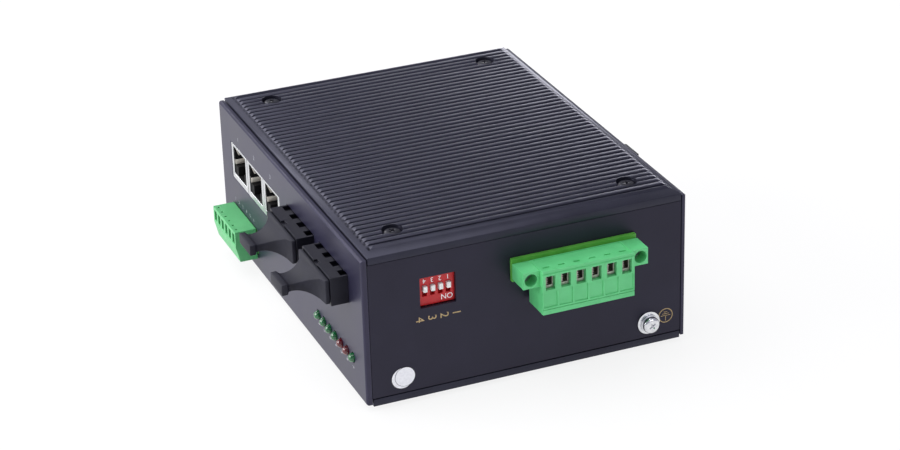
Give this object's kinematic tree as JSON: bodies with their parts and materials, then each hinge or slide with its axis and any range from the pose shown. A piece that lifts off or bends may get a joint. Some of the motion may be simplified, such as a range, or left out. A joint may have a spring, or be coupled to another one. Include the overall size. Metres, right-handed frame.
{
  "type": "DIN rail Ethernet switch",
  "caption": "DIN rail Ethernet switch with ribbed aluminium covers, network sockets, capped fibre ports, green plug-in terminals, an address switch and a rail clip.",
  "frame": {"origin": "middle of the housing over the plane of the lower cover's rib crests, on which the unit lies", "axes": "+Z away from the lower side cover, -Y towards the front with the ports, +X towards the end with the power plug"},
  "size_m": [0.1465, 0.1304, 0.0532],
  "materials": {
    "cover_aluminium": "dark grey anodised, satin",
    "panel_paint": "dark grey powder coat, matt",
    "zinc_steel": "zinc plated, satin",
    "black_screw": "black oxide, satin",
    "brass": "plain, satin",
    "circuit_board": "green solder mask, satin",
    "black_plastic": "moulded, satin",
    "chip_epoxy": "moulded, matt",
    "raw_aluminium": "plain, satin",
    "socket_shield": "nickel plated, bright",
    "gold_contact": "gold plated, bright",
    "ceramic": "ground zirconia, satin",
    "cap_rubber": "moulded, matt",
    "plug_green": "moulded, satin",
    "header_green": "moulded, satin",
    "switch_red": "moulded, satin",
    "lever_white": "moulded, satin",
    "lamp_green": "clear tinted, gloss",
    "lamp_red": "clear tinted, gloss",
    "seal_paper": "coated paper, matt",
    "blue_plastic": "moulded, satin"
  },
  "bodies": {
    "chassis": {"upper_side_cover": "cover_aluminium", "lower_side_cover": "cover_aluminium", "front_panel": "panel_paint", "rear_panel": "panel_paint", "terminal_end_panel": "panel_paint", "far_end_panel": "panel_paint", "cover_screws": "black_screw", "lower_pillars": "brass", "upper_pillars": "brass", "front_tab_nuts": "zinc_steel", "board_standoffs": "brass", "board_screws": "zinc_steel", "main_board": "circuit_board", "io_board": "circuit_board", "io_board_standoffs": "brass", "board_link": "black_plastic", "switch_chip": "chip_epoxy", "chip_heatsink": "raw_aluminium", "network_magnetics": "chip_epoxy", "filter_capacitors": "raw_aluminium", "alarm_relay": "blue_plastic", "rj45_shields": "socket_shield", "rj45_inserts": "black_plastic", "rj45_contacts": "gold_contact", "fibre_transceiver_1": "black_plastic", "fibre_transceiver_2": "black_plastic", "fibre_sleeves": "ceramic", "transceiver_sockets": "black_plastic", "dust_cap_1": "cap_rubber", "dust_cap_2": "cap_rubber", "signal_plug": "plug_green", "signal_plug_screws": "zinc_steel", "signal_plug_clamps": "zinc_steel", "signal_header": "header_green", "power_plug": "plug_green", "power_plug_screws": "zinc_steel", "power_plug_clamps": "zinc_steel", "power_header": "header_green", "power_flange_screws": "zinc_steel", "dip_block": "switch_red", "dip_pins": "zinc_steel", "lamp_holder": "black_plastic", "green_lamps": "lamp_green", "red_lamps": "lamp_red", "lamp_leads": "zinc_steel", "earth_flat_washer": "zinc_steel", "earth_lock_washer": "zinc_steel", "earth_screw": "zinc_steel", "earth_nut": "zinc_steel", "seal_disc_under": "seal_paper", "seal_disc_over": "seal_paper", "din_clip_plate": "black_plastic", "din_latch_spring": "zinc_steel", "din_clip_screws": "zinc_steel"},
    "lever_1": {"dip_lever_1": "lever_white"},
    "lever_2": {"dip_lever_2": "lever_white"},
    "lever_3": {"dip_lever_3": "lever_white"},
    "lever_4": {"dip_lever_4": "lever_white"},
    "latch": {"din_latch": "black_plastic"}
  },
  "joints": [
    {"name": "lever_1_slide", "type": "slide", "parent": "chassis", "child": "lever_1", "axis": [0, 0, -1], "range_m": [0, 0.0016]},
    {"name": "lever_2_slide", "type": "slide", "parent": "chassis", "child": "lever_2", "axis": [0, 0, -1], "range_m": [0, 0.0016]},
    {"name": "lever_3_slide", "type": "slide", "parent": "chassis", "child": "lever_3", "axis": [0, 0, -1], "range_m": [0, 0.0016]},
    {"name": "lever_4_slide", "type": "slide", "parent": "chassis", "child": "lever_4", "axis": [0, 0, -1], "range_m": [0, 0.0016]},
    {"name": "latch_slide", "type": "slide", "parent": "chassis", "child": "latch", "axis": [-1, 0, 0], "range_m": [0, 0.003], "stiffness_N_per_m": 400, "deforming": ["din_latch_spring"]}
  ]
}
